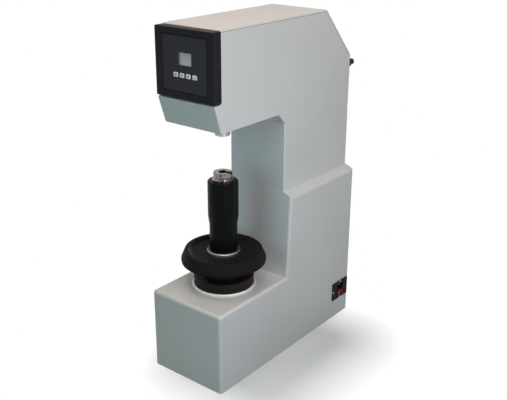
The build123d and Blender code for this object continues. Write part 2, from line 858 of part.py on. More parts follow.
with BuildPart() as lower_sleeve:
    with BuildSketch(Plane.XY.offset(nut_top)):
        Circle(lower_sleeve_radius)
        Circle(lower_sleeve_bore, mode=Mode.SUBTRACT)
    extrude(amount=lower_sleeve_top - nut_top)
save(lower_sleeve, "lower_sleeve")


# ---- what rises: the screw, its upper sleeve and the anvil seat
with BuildPart() as elevating_screw:
    with BuildSketch(Plane.XY.offset(screw_bottom)):
        Circle(screw_radius)
    extrude(amount=screw_top - screw_bottom)
    with BuildSketch(Plane.XY.offset(screw_top)):
        Circle(seat_stem_radius)
    extrude(amount=sleeve_cap - seat_stem_length, mode=Mode.SUBTRACT)
    with BuildSketch(Plane.XY.offset(screw_bottom)):
        with Locations((0, screw_radius - keyway_depth)):
            keyway = keyway_width + 2 * sliding_clearance
            Rectangle(keyway, screw_radius, align=(Align.CENTER, Align.MIN))
    extrude(amount=keyway_top - screw_bottom, mode=Mode.SUBTRACT)
save(elevating_screw, "elevating_screw")

with BuildPart() as upper_sleeve:
    with BuildSketch(Plane.XZ):
        with BuildLine():
            Polyline(
                (seat_stem_radius, screw_top),
                (upper_sleeve_bore, screw_top),
                (upper_sleeve_bore, upper_sleeve_bottom),
                (upper_sleeve_bore + sleeve_wall / 4, upper_sleeve_bottom),
                (upper_sleeve_radius, upper_sleeve_bottom + sleeve_taper),
                (upper_sleeve_radius, seat_flange_height - sleeve_edge),
                (upper_sleeve_radius - sleeve_edge, seat_flange_height),
                (seat_stem_radius, seat_flange_height),
                close=True,
            )
        make_face()
    revolve(axis=Axis.Z)
save(upper_sleeve, "upper_sleeve")

with BuildPart() as anvil_seat:
    seat_top = seat_flange_height + seat_height
    flange_top = seat_flange_height + seat_flange
    with BuildSketch(Plane.XZ):
        with BuildLine():
            Polyline(
                (anvil_bore_radius, seat_top),
                (seat_ring_radius, seat_top),
                (seat_ring_radius, flange_top + 7),
                (seat_waist_radius, flange_top + 4),
                (seat_flange_radius - 2, flange_top),
                (seat_flange_radius, flange_top - 1),
                (seat_flange_radius, seat_flange_height),
                (seat_stem_radius, seat_flange_height),
                (seat_stem_radius, seat_flange_height - seat_stem_length),
                (0, seat_flange_height - seat_stem_length),
                (0, seat_top - anvil_bore_depth),
                (anvil_bore_radius, seat_top - anvil_bore_depth),
                close=True,
            )
        make_face()
    revolve(axis=Axis.Z)
    rims = anvil_seat.edges().filter_by(GeomType.CIRCLE).group_by(Axis.Z)[-1]
    chamfer(rims, 1)
    with BuildSketch(Plane.XY.offset(seat_top)):
        with Locations(Rotation(0, 0, anvil_slot_turn)):
            Rectangle(seat_flange_radius, anvil_slot_width, align=(Align.MIN, Align.CENTER))
    extrude(amount=-anvil_slot_depth, mode=Mode.SUBTRACT)
save(anvil_seat, "anvil_seat")


# ---- spindle, its bush in the casting, and the load cell on its head
with BuildPart() as spindle_bush:
    with BuildSketch(Plane.XY.offset(frame_head_bottom)):
        Circle(spindle_bush_radius)
    extrude(amount=frame_head_top - frame_head_bottom)
    with BuildSketch(Plane.XY.offset(frame_head_top)):
        Circle(spindle_bush_radius + bush_flange_width)
    extrude(amount=bush_flange)
    with BuildSketch(Plane.XY.offset(frame_head_bottom)):
        Circle(spindle_radius + running_clearance)
    extrude(amount=frame_head_top + bush_flange - frame_head_bottom, mode=Mode.SUBTRACT)
save(spindle_bush, "spindle_bush")

with BuildPart() as spindle:
    with BuildSketch(Plane.XY.offset(nose_bottom)):
        Circle(spindle_radius)
    extrude(amount=spindle_top - nose_bottom)
    with BuildSketch(Plane.XY.offset(spindle_top)):
        Circle(cell_radius)
    extrude(amount=-spindle_head)
    with BuildSketch(Plane.XY.offset(nose_bottom)):
        Circle(indenter_bore_radius)
    extrude(amount=indenter_bore_depth, mode=Mode.SUBTRACT)
    with BuildSketch(Plane.XZ):
        with Locations((0, nose_screw_level)):
            Circle(nose_screw_radius)
    extrude(amount=spindle_radius + 1, mode=Mode.SUBTRACT)
    chamfer(spindle.edges().filter_by(GeomType.CIRCLE).group_by(Axis.Z)[0], 1)
save(spindle, "spindle")

with BuildPart() as nose_screw:
    with BuildSketch(Plane.XZ.offset(indenter_bore_radius + 0.5)):
        with Locations((0, nose_screw_level)):
            Circle(nose_screw_radius)
    extrude(amount=spindle_radius - indenter_bore_radius + 1)
    with BuildSketch(Plane.XZ.offset(spindle_radius + 1.5)):
        with Locations((0, nose_screw_level)):
            RegularPolygon(nose_screw_radius - 1, 6)
    extrude(amount=-nose_screw_radius, mode=Mode.SUBTRACT)
save(nose_screw, "nose_screw")

with BuildPart() as load_cell:
    with BuildSketch(Plane.XY.offset(spindle_top)):
        Circle(cell_radius)
    extrude(amount=cell_height)
    chamfer(load_cell.edges().filter_by(GeomType.CIRCLE), 1.5)
    with BuildSketch(Plane.XY.offset(spindle_top + cell_height)):
        Circle(cell_button_radius)
    extrude(amount=cell_button_height)
save(load_cell, "load_cell")


# ---- load lever on its pin: the tail is pushed up, the nose presses on the load cell
with BuildPart() as load_lever:
    lever_top = lever_bottom + lever_depth
    with BuildSketch(Plane.YZ):
        with BuildLine():
            Polyline(
                (-lever_front, lever_bottom),
                (-lever_front, lever_bottom + lever_tail_depth),
                (lever_pivot_offset - lever_depth, lever_top),
                (lever_pivot_offset + lever_depth, lever_top),
                (load_screw_offset + lever_tail, lever_bottom + lever_tail_depth),
                (load_screw_offset + lever_tail, lever_bottom),
                close=True,
            )
        make_face()
        with Locations((lever_pivot_offset, lever_pivot_height)):
            Circle(lever_pin_radius + running_clearance + lever_bush_wall, mode=Mode.SUBTRACT)
    extrude(amount=lever_half_width, both=True)
save(load_lever, "load_lever")

with BuildPart() as lever_bush:
    with BuildSketch(Plane.YZ):
        with Locations((lever_pivot_offset, lever_pivot_height)):
            Circle(lever_pin_radius + running_clearance + lever_bush_wall)
            Circle(lever_pin_radius + running_clearance, mode=Mode.SUBTRACT)
    extrude(amount=lever_half_width, both=True)
save(lever_bush, "lever_bush")

with BuildPart() as lever_pin:
    with BuildSketch(Plane.YZ):
        with Locations((lever_pivot_offset, lever_pivot_height)):
            Circle(lever_pin_radius)
    extrude(amount=lug_inner + lug_width, both=True)
save(lever_pin, "lever_pin")


# ---- motor bracket and the two supports of the load screw, on the casting's back
with BuildPart() as motor_bracket:
    with BuildSketch(Plane.XY.offset(bracket_height)):
        with Locations((0, frame_column_back)):
            Rectangle(2 * bracket_half_width, bracket_depth, align=(Align.CENTER, Align.MIN))
        with Locations((0, load_screw_offset)):
            Circle(bearing_radius, mode=Mode.SUBTRACT)
        with Locations((0, motor_offset)):
            Circle(motor_shaft_radius + stop_gap, mode=Mode.SUBTRACT)
    extrude(amount=bracket_thickness)
    with BuildSketch(Plane.XY.offset(bracket_height)):
        with Locations((0, frame_column_back)):
            Rectangle(2 * bracket_half_width, bracket_thickness, align=(Align.CENTER, Align.MIN))
    extrude(amount=-bracket_leg)
save(motor_bracket, "motor_bracket")

with BuildPart() as screw_bearing:
    with BuildSketch(Plane.XY.offset(bearing_bottom)):
        with Locations((0, load_screw_offset)):
            Circle(bearing_radius)
            Circle(journal_radius + running_clearance, mode=Mode.SUBTRACT)
    extrude(amount=bearing_height)
save(screw_bearing, "screw_bearing")

with BuildPart() as screw_support:
    with BuildSketch(Plane.XY.offset(support_height)):
        with Locations((0, load_screw_offset)):
            Circle(support_half_width)
        with Locations((0, frame_column_back)):
            reach = load_screw_offset - frame_column_back
            Rectangle(2 * support_half_width, reach, align=(Align.CENTER, Align.MIN))
        with Locations((0, load_screw_offset)):
            Circle(load_screw_radius + running_clearance, mode=Mode.SUBTRACT)
    extrude(amount=support_thickness)
save(screw_support, "screw_support")

with BuildPart() as guide_rail:
    with BuildSketch(Plane.XY.offset(rail_bottom)):
        with Locations((0, frame_column_back)):
            Rectangle(2 * rail_half_width, rail_depth, align=(Align.CENTER, Align.MIN))
    extrude(amount=rail_height)
save(guide_rail, "guide_rail")


# ---- load screw and nut, driven by the motor through a pair of involute gears
def gear_outline(teeth, centre, first_tooth):
    """Points of a spur gear's outline, its first tooth at first_tooth degrees."""
    pitch_radius = gear_module * teeth / 2
    base_radius = pitch_radius * math.cos(math.radians(20))
    root_radius = pitch_radius - 1.25 * gear_module
    tip_radius = pitch_radius + gear_module
    flank_start = max(base_radius, root_radius + 0.2)
    pressure_involute = math.tan(math.radians(20)) - math.radians(20)
    half_tooth = math.pi / (2 * teeth) - gear_backlash / (4 * pitch_radius)
    flank = []
    for step in range(5):
        radius = flank_start + (tip_radius - flank_start) * step / 4
        roll = math.acos(min(1, base_radius / radius))
        turn = half_tooth + pressure_involute - (math.tan(roll) - roll)
        flank.append((radius, turn))
    flank.insert(0, (root_radius, flank[0][1]))
    side_by_side = [(radius, -turn) for radius, turn in flank] + flank[::-1]
    points = []
    for tooth in range(teeth):
        middle = math.radians(first_tooth + 360 * tooth / teeth)
        points += [
            (radius * math.cos(middle + turn), centre + radius * math.sin(middle + turn))
            for radius, turn in side_by_side
        ]
    return points


with BuildPart() as load_screw:
    with BuildSketch(Plane.XY.offset(load_screw_bottom)):
        with Locations((0, load_screw_offset)):
            Circle(journal_radius)
    extrude(amount=load_screw_top - load_screw_bottom)
    with BuildSketch(Plane.XY.offset(gear_height + gear_width)):
        with Locations((0, load_screw_offset)):
            Circle(load_screw_radius)
    extrude(amount=load_screw_top - gear_height - gear_width)
save(load_screw, "load_screw")

with BuildPart() as driven_gear:
    with BuildSketch(Plane.XY.offset(gear_height)):
        with BuildLine():
            Polyline(*gear_outline(driven_teeth, load_screw_offset, 90), close=True)
        make_face()
        with Locations((0, load_screw_offset)):
            Circle(journal_radius, mode=Mode.SUBTRACT)
    extrude(amount=gear_width)
save(driven_gear, "driven_gear")

with BuildPart() as motor_pinion:
    with BuildSketch(Plane.XY.offset(gear_height)):
        with BuildLine():
            Polyline(*gear_outline(pinion_teeth, motor_offset, 180 / pinion_teeth - 90), close=True)
        make_face()
        with Locations((0, motor_offset)):
            Circle(motor_shaft_radius, mode=Mode.SUBTRACT)
    extrude(amount=gear_width)
save(motor_pinion, "motor_pinion")

with BuildPart() as motor_shaft:
    shaft_bottom = bracket_height - motor_shaft_sink
    with BuildSketch(Plane.XY.offset(shaft_bottom)):
        with Locations((0, motor_offset)):
            Circle(motor_shaft_radius)
    extrude(amount=gear_height + gear_width - shaft_bottom)
save(motor_shaft, "motor_shaft")

with BuildPart() as drive_motor:
    with BuildSketch(Plane.XY.offset(bracket_height)):
        with Locations((0, motor_offset)):
            Circle(motor_radius)
    extrude(amount=-motor_length)
    chamfer(drive_motor.edges().filter_by(GeomType.CIRCLE).group_by(Axis.Z)[0], motor_edge)
    with BuildSketch(Plane.XY.offset(bracket_height)):
        with Locations((0, motor_offset)):
            Circle(motor_shaft_radius + running_clearance)
    extrude(amount=-motor_shaft_sink - stop_clearance, mode=Mode.SUBTRACT)
save(drive_motor, "drive_motor")

with BuildPart() as load_nut:
    load_nut_top = load_nut_bottom + load_nut_height
    tube_top = load_screw_top + push_tube_play
    with BuildSketch(Plane.XY.offset(load_nut_bottom)):
        with Locations((0, load_screw_offset)):
            Circle(load_nut_radius)
        fork_front = frame_column_back + stop_clearance
        for direction in (-1, 1):
            inner = rail_half_width + sliding_clearance
            with Locations((direction * (inner + lever_half_width) / 2, fork_front)):
                fork_length = load_screw_offset - fork_front
                Rectangle(lever_half_width - inner, fork_length, align=(Align.CENTER, Align.MIN))
    extrude(amount=load_nut_height)
    with BuildSketch(Plane.XY.offset(load_nut_top)):
        with Locations((0, load_screw_offset)):
            Circle(push_tube_radius)
    extrude(amount=push_pad_top - push_pad_radius - load_nut_top)
    with BuildSketch(Plane.XY.offset(push_pad_top)):
        with Locations((0, load_screw_offset)):
            Circle(push_pad_radius)
    extrude(amount=-push_pad_radius)
    with BuildSketch(Plane.XY.offset(load_nut_bottom)):
        with Locations((0, load_screw_offset)):
            Circle(load_screw_radius + running_clearance)
    extrude(amount=load_nut_height, mode=Mode.SUBTRACT)
    with BuildSketch(Plane.XY.offset(load_nut_top)):
        with Locations((0, load_screw_offset)):
            Circle(load_screw_radius + 1)
    extrude(amount=tube_top - load_nut_top, mode=Mode.SUBTRACT)
save(load_nut, "load_nut")


# ---- display box: a bezel with a recessed panel, the display and four keys
key_names = ["key_menu", "key_up", "key_down", "key_enter"]
key_hole = (key_width + 2 * sliding_clearance, key_height + 2 * sliding_clearance)

with BuildPart() as front_bezel:
    with BuildSketch(Plane.XZ.offset(panel_seat)):
        with Locations((0, bezel_middle)):
            Rectangle(head_width, bezel_height)
    extrude(amount=bezel_depth)
    fillet(front_bezel.edges().filter_by(Axis.Y), bezel_corner)
    fillet(front_bezel.faces().sort_by(Axis.Y)[0].edges(), bezel_edge)
    with BuildSketch(Plane.XZ.offset(panel_seat)):
        with Locations((0, bezel_middle)):
            Rectangle(head_width - 2 * bezel_wall, bezel_height - 2 * bezel_wall)
    extrude(amount=floor_back - panel_seat, mode=Mode.SUBTRACT)
    with BuildSketch(Plane.XZ.offset(bezel_face)):
        with Locations((0, bezel_middle)):
            RectangleRounded(recess_width, recess_height, recess_corner)
    extrude(amount=-recess_depth, taper=recess_slope, mode=Mode.SUBTRACT)
    with BuildSketch(Plane.XZ.offset(floor_back)):
        with Locations(window_middle):
            Rectangle(window_width, window_height)
        with Locations(*key_points):
            RectangleRounded(*key_hole, key_corner)
    extrude(amount=bezel_wall + 1, mode=Mode.SUBTRACT)
save(front_bezel, "front_bezel")

with BuildPart() as panel_plate:
    margin = 2 * recess_depth
    with BuildSketch(Plane.XZ.offset(recess_floor)):
        with Locations((0, bezel_middle)):
            RectangleRounded(recess_width - margin, recess_height - margin, recess_corner)
        with Locations(window_middle):
            Rectangle(window_width, window_height, mode=Mode.SUBTRACT)
        with Locations(*key_points):
            RectangleRounded(*key_hole, key_corner, mode=Mode.SUBTRACT)
    extrude(amount=plate_thickness)
save(panel_plate, "panel_plate")

with BuildPart() as display_window:
    with BuildSketch(Plane.XZ.offset(floor_back)):
        with Locations(window_middle):
            Rectangle(window_width - seat_clearance, window_height - seat_clearance)
    extrude(amount=plate_face - floor_back - stop_clearance)
save(display_window, "display_window")

with BuildPart() as display_module:
    with BuildSketch(Plane.XZ.offset(board_face)):
        with Locations(window_middle):
            Rectangle(window_width + 2 * module_margin, window_height + 2 * module_margin)
    extrude(amount=floor_back - board_face)
save(display_module, "display_module")

with BuildPart() as control_board:
    with BuildSketch(Plane.XZ.offset(board_face - board_thickness)):
        with Locations((0, bezel_middle)):
            Rectangle(board_width, board_height)
        with Locations(*standoff_points):
            Circle(standoff_radius / 2, mode=Mode.SUBTRACT)
    extrude(amount=board_thickness)
    with BuildSketch(Plane.XZ.offset(board_face)):
        with Locations(*key_points):
            Rectangle(switch_size, switch_size)
    extrude(amount=switch_size / 2)
save(control_board, "control_board")

with BuildPart() as board_standoffs:
    with BuildSketch(Plane.XZ.offset(board_face)):
        with Locations(*standoff_points):
            Circle(standoff_radius)
    extrude(amount=floor_back - board_face)
    with BuildSketch(Plane.XZ.offset(board_face)):
        with Locations(*standoff_points):
            Circle(standoff_radius / 2)
    extrude(amount=-board_thickness - 1)
save(board_standoffs, "board_standoffs")

for key_name, key_point in zip(key_names, key_points):
    with BuildPart() as key:
        with BuildSketch(Plane.XZ.offset(key_flange_face)):
            with Locations(key_point):
                RectangleRounded(key_width, key_height, key_corner)
        extrude(amount=plate_face + key_proud - key_flange_face)
        fillet(key.faces().sort_by(Axis.Y)[0].edges(), key_edge)
        with BuildSketch(Plane.XZ.offset(key_flange_face)):
            with Locations(key_point):
                Rectangle(key_width + 2 * key_flange_margin, key_height + 2 * key_flange_margin)
        extrude(amount=-key_flange)
        with BuildSketch(Plane.XZ.offset(stem_end)):
            with Locations(key_point):
                Circle(key_stem_radius)
        extrude(amount=key_flange_face - stem_end)
    save(key, key_name)


# ---- power inlet on the right side: plate, socket with its three blades, rocker switch
with BuildPart() as inlet_plate:
    with BuildSketch(Plane.YZ.offset(side)):
        with Locations((inlet_centre, inlet_level)):
            RectangleRounded(inlet_width, inlet_height, inlet_corner)
        with Locations(socket_point):
            Rectangle(socket_width, socket_height, mode=Mode.SUBTRACT)
        with Locations(rocker_point):
            Rectangle(rocker_width, rocker_height, mode=Mode.SUBTRACT)
        with Locations(*inlet_screw_points):
            Circle(inlet_screw_radius, mode=Mode.SUBTRACT)
    extrude(amount=inlet_thickness)
    chamfer(inlet_plate.faces().sort_by(Axis.X)[-1].outer_wire().edges(), 0.8)
save(inlet_plate, "inlet_plate")

with BuildPart() as inlet_socket:
    with BuildSketch(Plane.YZ.offset(side)):
        with Locations(socket_point):
            Rectangle(socket_width + 2 * socket_wall, socket_height + 2 * socket_wall)
    extrude(amount=-socket_depth)
    with BuildSketch(Plane.YZ.offset(side)):
        with Locations(socket_point):
            Rectangle(socket_width, socket_height)
    extrude(amount=2 * socket_wall - socket_depth, mode=Mode.SUBTRACT)
save(inlet_socket, "inlet_socket")

with BuildPart() as inlet_contacts:
    socket_back = side - socket_depth
    contact_level = inlet_bottom + socket_rise - contact_thickness
    with BuildSketch(Plane.YZ.offset(socket_back + 2 * socket_wall)):
        with Locations((inlet_centre, contact_level + contact_width + free_gap)):
            Rectangle(contact_thickness, contact_width)
        for direction in (-1, 1):
            with Locations((inlet_centre + direction * contact_spread, contact_level)):
                Rectangle(contact_thickness, contact_width)
    extrude(amount=socket_depth - 2 * socket_wall - contact_setback)
save(inlet_contacts, "inlet_contacts")

with BuildPart() as inlet_screws:
    with BuildSketch(Plane.YZ.offset(plate_front - inlet_screw_length)):
        with Locations(*inlet_screw_points):
            Circle(inlet_screw_radius)
    extrude(amount=inlet_screw_length)
    with BuildSketch(Plane.YZ.offset(plate_front)):
        with Locations(*inlet_screw_points):
            Circle(inlet_screw_head)
    extrude(amount=inlet_screw_crown)
    fillet(inlet_screws.edges().filter_by(GeomType.CIRCLE).group_by(Axis.X)[-1], inlet_screw_crown / 2)
save(inlet_screws, "inlet_screws")

rocker_pivot = side - 1
rocker_origin = (rocker_pivot, inlet_centre, inlet_bottom + rocker_rise)
rocker_plane = Plane(origin=rocker_origin).rotated((0, 0, -rocker_tilt))

with BuildPart() as switch_body:
    with BuildSketch(Plane.YZ.offset(side)):
        with Locations(rocker_point):
            Rectangle(rocker_width + 2 * socket_wall, rocker_height + 2 * socket_wall)
    extrude(amount=-socket_depth)
    with BuildSketch(Plane.YZ.offset(side)):
        with Locations(rocker_point):
            Rectangle(rocker_width, rocker_height)
    extrude(amount=inlet_thickness)
    with BuildSketch(Plane.YZ.offset(plate_front)):
        with Locations(rocker_point):
            Rectangle(rocker_width + switch_rim, rocker_height + switch_rim)
    extrude(amount=switch_rim)
    with BuildSketch(Plane.YZ.offset(plate_front + switch_rim)):
        with Locations(rocker_point):
            Rectangle(rocker_width - 2 * rocker_frame, rocker_height - 2 * rocker_frame)
    extrude(amount=-rocker_pocket, mode=Mode.SUBTRACT)
save(switch_body, "switch_body")

with BuildPart() as power_rocker:
    half_length = rocker_width / 2 - rocker_frame - sliding_clearance
    half_height = rocker_height / 2 - rocker_frame - sliding_clearance
    with BuildSketch(rocker_plane):
        with BuildLine():
            Polyline(
                (-rocker_root, -half_length / 2),
                (inlet_thickness, -half_length + 0.5),
                (rocker_horn, -half_length + 1),
                (rocker_hollow, 0),
                (rocker_horn, half_length - 1),
                (inlet_thickness, half_length - 0.5),
                (-rocker_root, half_length / 2),
                close=True,
            )
        make_face()
    extrude(amount=half_height, both=True)
save(power_rocker, "power_rocker")

with BuildPart() as power_supply:
    supply_inner = frame_half_width + supply_gap
    with BuildSketch(Plane.XY.offset(base_plate_thickness)):
        with Locations((supply_inner, supply_front)):
            Rectangle(supply_width, supply_length, align=(Align.MIN, Align.MIN))
    extrude(amount=supply_height)
    chamfer(power_supply.edges().filter_by(Axis.Y).group_by(Axis.Z)[-1], 2)
save(power_supply, "power_supply")


# ---- cover knobs: quarter-turn studs through the cover's flange into the tabs
knob_seat = head_back + seat_clearance

for knob_name, knob_point in zip(["cover_knob_left", "cover_knob_right"], knob_points):
    with BuildPart() as knob:
        with BuildSketch(Plane.XZ.offset(-knob_seat)):
            with Locations(knob_point):
                Circle(knob_stud_radius)
        extrude(amount=upper_wall + tab_depth + seat_clearance)
        with BuildSketch(Plane.XZ.offset(-knob_seat)):
            with Locations(knob_point):
                Circle(knob_flange_radius)
        extrude(amount=-knob_flange)
        with BuildSketch(Plane.XZ.offset(-knob_seat)):
            with Locations(knob_point):
                Circle(knob_radius)
        extrude(amount=-knob_length)
        fillet(knob.faces().sort_by(Axis.Y)[-1].edges(), knob_edge)
    save(knob, knob_name)
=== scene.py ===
import math

import bpy
from mathutils import Color, Matrix, Vector


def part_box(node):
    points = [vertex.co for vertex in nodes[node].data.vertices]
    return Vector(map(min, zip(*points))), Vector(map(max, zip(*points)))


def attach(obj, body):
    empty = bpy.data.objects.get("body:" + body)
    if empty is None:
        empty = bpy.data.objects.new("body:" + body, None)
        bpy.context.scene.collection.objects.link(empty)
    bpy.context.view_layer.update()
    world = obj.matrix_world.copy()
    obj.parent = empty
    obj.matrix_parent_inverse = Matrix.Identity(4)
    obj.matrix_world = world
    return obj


bl_info = {
    "name": "Hardness Tester",
    "version": (1, 0, 0),
    "blender": (4, 5, 0),
    "location": "3D View > Sidebar > Hardness Tester",
    "description": "Finishes, key signs and stage for a bench hardness tester",
    "category": "Object",
}

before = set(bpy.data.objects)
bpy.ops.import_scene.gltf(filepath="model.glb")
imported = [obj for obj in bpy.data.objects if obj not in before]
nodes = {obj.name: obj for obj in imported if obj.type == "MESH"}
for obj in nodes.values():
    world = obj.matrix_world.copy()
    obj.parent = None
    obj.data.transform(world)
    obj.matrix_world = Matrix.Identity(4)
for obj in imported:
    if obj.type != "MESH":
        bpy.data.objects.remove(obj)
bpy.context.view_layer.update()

MM = 0.001
KEYS = ("menu", "up", "down", "enter")
BLACK = (0, 0, 0)
WHITE = (1, 1, 1)


# ---- shader expressions -------------------------------------------------------------


class Wire:
    """One output of a node, usable in Python arithmetic."""

    def __init__(self, tree, socket):
        self.tree = tree
        self.socket = socket

    def math(self, operation, *terms):
        return self.tree.add("ShaderNodeMath", {"operation": operation}, terms)["Value"]

    def __add__(self, other):
        return self.math("ADD", self, other)

    def __radd__(self, other):
        return self.math("ADD", other, self)

    def __sub__(self, other):
        return self.math("SUBTRACT", self, other)

    def __rsub__(self, other):
        return self.math("SUBTRACT", other, self)

    def __mul__(self, other):
        return self.math("MULTIPLY", self, other)

    def __rmul__(self, other):
        return self.math("MULTIPLY", other, self)

    def __truediv__(self, other):
        return self.math("DIVIDE", self, other)

    def __rtruediv__(self, other):
        return self.math("DIVIDE", other, self)

    def __pow__(self, other):
        return self.math("POWER", self, other)

    def __rpow__(self, other):
        return self.math("POWER", other, self)

    def sine(self):
        return self.math("SINE", self)

    def size(self):
        """The value without its sign."""
        return self.math("ABSOLUTE", self)

    def lesser(self, other):
        return self.math("MINIMUM", self, other)

    def greater(self, other):
        return self.math("MAXIMUM", self, other)

    def beyond(self, centre, reach):
        """How far the value lies past centre - reach or centre + reach, and 0 between them."""
        return ((self - centre).size() - reach).greater(0)

    def ramp(self, low, high):
        """0 below low, 1 above high, straight between."""
        inputs = {"Value": self, "From Min": low, "From Max": high}
        return self.tree.add("ShaderNodeMapRange", {"clamp": True}, inputs)["Result"]


class Node:
    """An added node, which gives its outputs by name or number."""

    def __init__(self, tree, node):
        self.tree = tree
        self.inputs = node.inputs
        self.outputs = node.outputs

    def __getitem__(self, output):
        return Wire(self.tree, self.outputs[output])


class NodeTree:
    """The nodes of a material or a world."""

    def __init__(self, owner):
        owner.use_nodes = True
        self.tree = owner.node_tree
        self.tree.nodes.clear()

    def add(self, kind, settings=None, inputs=()):
        """Adds a node: its settings first, then the values or links of its sockets."""
        node = self.tree.nodes.new(kind)
        for setting, value in (settings or {}).items():
            setattr(node, setting, value)
        pairs = inputs.items() if isinstance(inputs, dict) else enumerate(inputs)
        for socket, value in pairs:
            self.feed(node.inputs[socket], value)
        return Node(self, node)

    def feed(self, socket, value):
        """Links a wire to a socket, or gives it a value; a colour gets its alpha here."""
        if isinstance(value, Wire):
            self.tree.links.new(value.socket, socket)
        elif isinstance(value, (tuple, Color)) and len(value) < len(socket.default_value):
            socket.default_value = (*value, 1)
        else:
            socket.default_value = value


class Finish(NodeTree):
    """A procedural material with one Principled shader, on the piece's own coordinates."""

    def __init__(self, name, **fixed):
        self.material = bpy.data.materials.new(name)
        super().__init__(self.material)
        self.shader = self.add("ShaderNodeBsdfPrincipled")
        self.add("ShaderNodeOutputMaterial", {}, {"Surface": self.shader["BSDF"]})
        self.place = self.add("ShaderNodeTexCoord")["Object"]
        for socket, value in fixed.items():
            self.set(socket.replace("_", " "), value)

    def set(self, socket, value):
        self.feed(self.shader.inputs[socket], value)

    def bump(self, height, distance, strength=1.0):
        inputs = {"Height": height, "Distance": distance, "Strength": strength}
        self.set("Normal", self.add("ShaderNodeBump", {}, inputs)["Normal"])

    def axes(self):
        parts = self.add("ShaderNodeSeparateXYZ", {}, {"Vector": self.place})
        return parts["X"], parts["Y"], parts["Z"]

    def noise(self, cells, detail=2, stretch=None):
        """Noise with so many cells to the metre, from 0 to 1."""
        place = self.place
        if stretch:
            place = self.add("ShaderNodeMapping", {}, {"Vector": place, "Scale": stretch})["Vector"]
        inputs = {"Vector": place, "Scale": cells, "Detail": detail}
        return self.add("ShaderNodeTexNoise", {}, inputs)["Fac"]

    def mix(self, factor, low, high):
        """The colour low where the factor is 0 and the colour high where it is 1."""
        # the node's data types share their sockets' names, so the colour sockets go by number
        factor_in, low_in, high_in, colour_out = 0, 6, 7, 2
        inputs = {factor_in: factor, low_in: low, high_in: high}
        return self.add("ShaderNodeMix", {"data_type": "RGBA"}, inputs)[colour_out]


def tone(colour, factor):
    return tuple(min(1, channel * factor) for channel in colour)


# ---- kinds of surface ---------------------------------------------------------------


def powder_coat(name, colour, roughness, seam=None):
    """Sprayed and baked paint: an orange peel, a faint cloudiness, and a dark line of painted shade
    and dirt on a seam.
    """
    cloud_cells, cloud_contrast = 5, 0.03
    peel_cells, peel_depth, peel_roughness = 900, 0.05 * MM, 0.12
    seam_painted_shade = 0.4
    finish = Finish(name, Coat_Weight=0.08, Coat_Roughness=0.3)
    cloud = finish.noise(cloud_cells, detail=3).ramp(0.3, 0.7)
    coat = finish.mix(cloud, tone(colour, 1 - cloud_contrast), tone(colour, 1 + cloud_contrast))
    # the seam's line is darkened with painted shade and dirt, where its gap would lie in shadow
    if seam:
        coat = finish.mix(seam(finish), coat, tone(colour, seam_painted_shade))
    peel = finish.noise(peel_cells)
    finish.set("Base Color", coat)
    finish.set("Roughness", roughness + (peel - 0.5) * peel_roughness)
    finish.bump(peel, peel_depth)
    return finish.material


def moulded(name, colour, roughness, grain=0.8 * MM, depth=0.02 * MM, wear=1.25, shine=0.3):
    """Moulded plastic or thick enamel: a fine grain, slightly paler where it is rubbed."""
    rubbed_cells, rubbed_mix, rubbed_roughness = 60, 0.5, 0.05
    grain_roughness = 0.15
    finish = Finish(name, Specular_IOR_Level=shine)
    rubbed = finish.noise(rubbed_cells, detail=4).ramp(0.5, 0.75)
    skin = finish.noise(1 / grain)
    finish.set("Base Color", finish.mix(rubbed * rubbed_mix, colour, tone(colour, wear)))
    roughness = roughness + (skin - 0.5) * grain_roughness + rubbed * rubbed_roughness
    finish.set("Roughness", roughness)
    finish.bump(skin, depth)
    return finish.material


def turned(name, colour, roughness, tone_and_reflection_dimming=0.9):
    """Turned metal: rings about the test axis, and patches darkened by a given factor: an uneven
    tone, and where the darkening is strong, painted reflections of a dark and light room.
    """
    ring_pitch, ring_depth, ring_roughness = 0.4 * MM, 0.008 * MM, 0.04
    wander_cells, wander = 300, 6
    patch_cells, patch_roughness = 40 / tone_and_reflection_dimming, 0.06
    finish = Finish(name, Metallic=1.0)
    x, y, z = finish.axes()
    radius = (x * x + y * y) ** 0.5
    turns = (radius + z) * (2 * math.pi / ring_pitch)
    rings = (turns + finish.noise(wander_cells) * wander).sine()
    # patches of uneven tone; where the darkening is strong they are painted reflections
    bright = finish.noise(patch_cells, detail=3).ramp(0.35, 0.7)
    finish.set("Base Color", finish.mix(bright, tone(colour, tone_and_reflection_dimming), colour))
    finish.set("Roughness", roughness + rings * ring_roughness + bright * patch_roughness)
    finish.bump(rings, ring_depth, strength=0.5)
    return finish.material


def ground(name, colour, roughness, stretch=(1, 1, 30)):
    """Ground or drawn metal: fine scratches, and darker stains."""
    scratch_cells, scratch_depth, scratch_roughness = 120, 0.01 * MM, 0.2
    stain_cells, stain_shade = 25, 0.82
    finish = Finish(name, Metallic=1.0)
    scratch = finish.noise(scratch_cells, detail=3, stretch=stretch)
    stain = finish.noise(stain_cells, detail=4).ramp(0.45, 0.8)
    finish.set("Base Color", finish.mix(stain, colour, tone(colour, stain_shade)))
    finish.set("Roughness", roughness + (scratch - 0.5) * scratch_roughness)
    finish.bump(scratch, scratch_depth, strength=0.6)
    return finish.material


def edge_worn(name, colour, bare, radius):
    """Enamel on a turned ring that is bare metal past a radius about the test axis."""
    ragged_cells, ragged, fade = 200, 0.3 * MM, 0.2 * MM
    enamel_roughness, bare_roughness = 0.45, 0.35
    finish = Finish(name, Specular_IOR_Level=0.3)
    x, y, _ = finish.axes()
    reach = (x * x + y * y) ** 0.5 + (finish.noise(ragged_cells) - 0.5) * ragged
    rim = reach.ramp(radius - fade, radius)
    finish.set("Base Color", finish.mix(rim, colour, bare))
    finish.set("Metallic", rim)
    finish.set("Roughness", enamel_roughness - rim * (enamel_roughness - bare_roughness))
    return finish.material


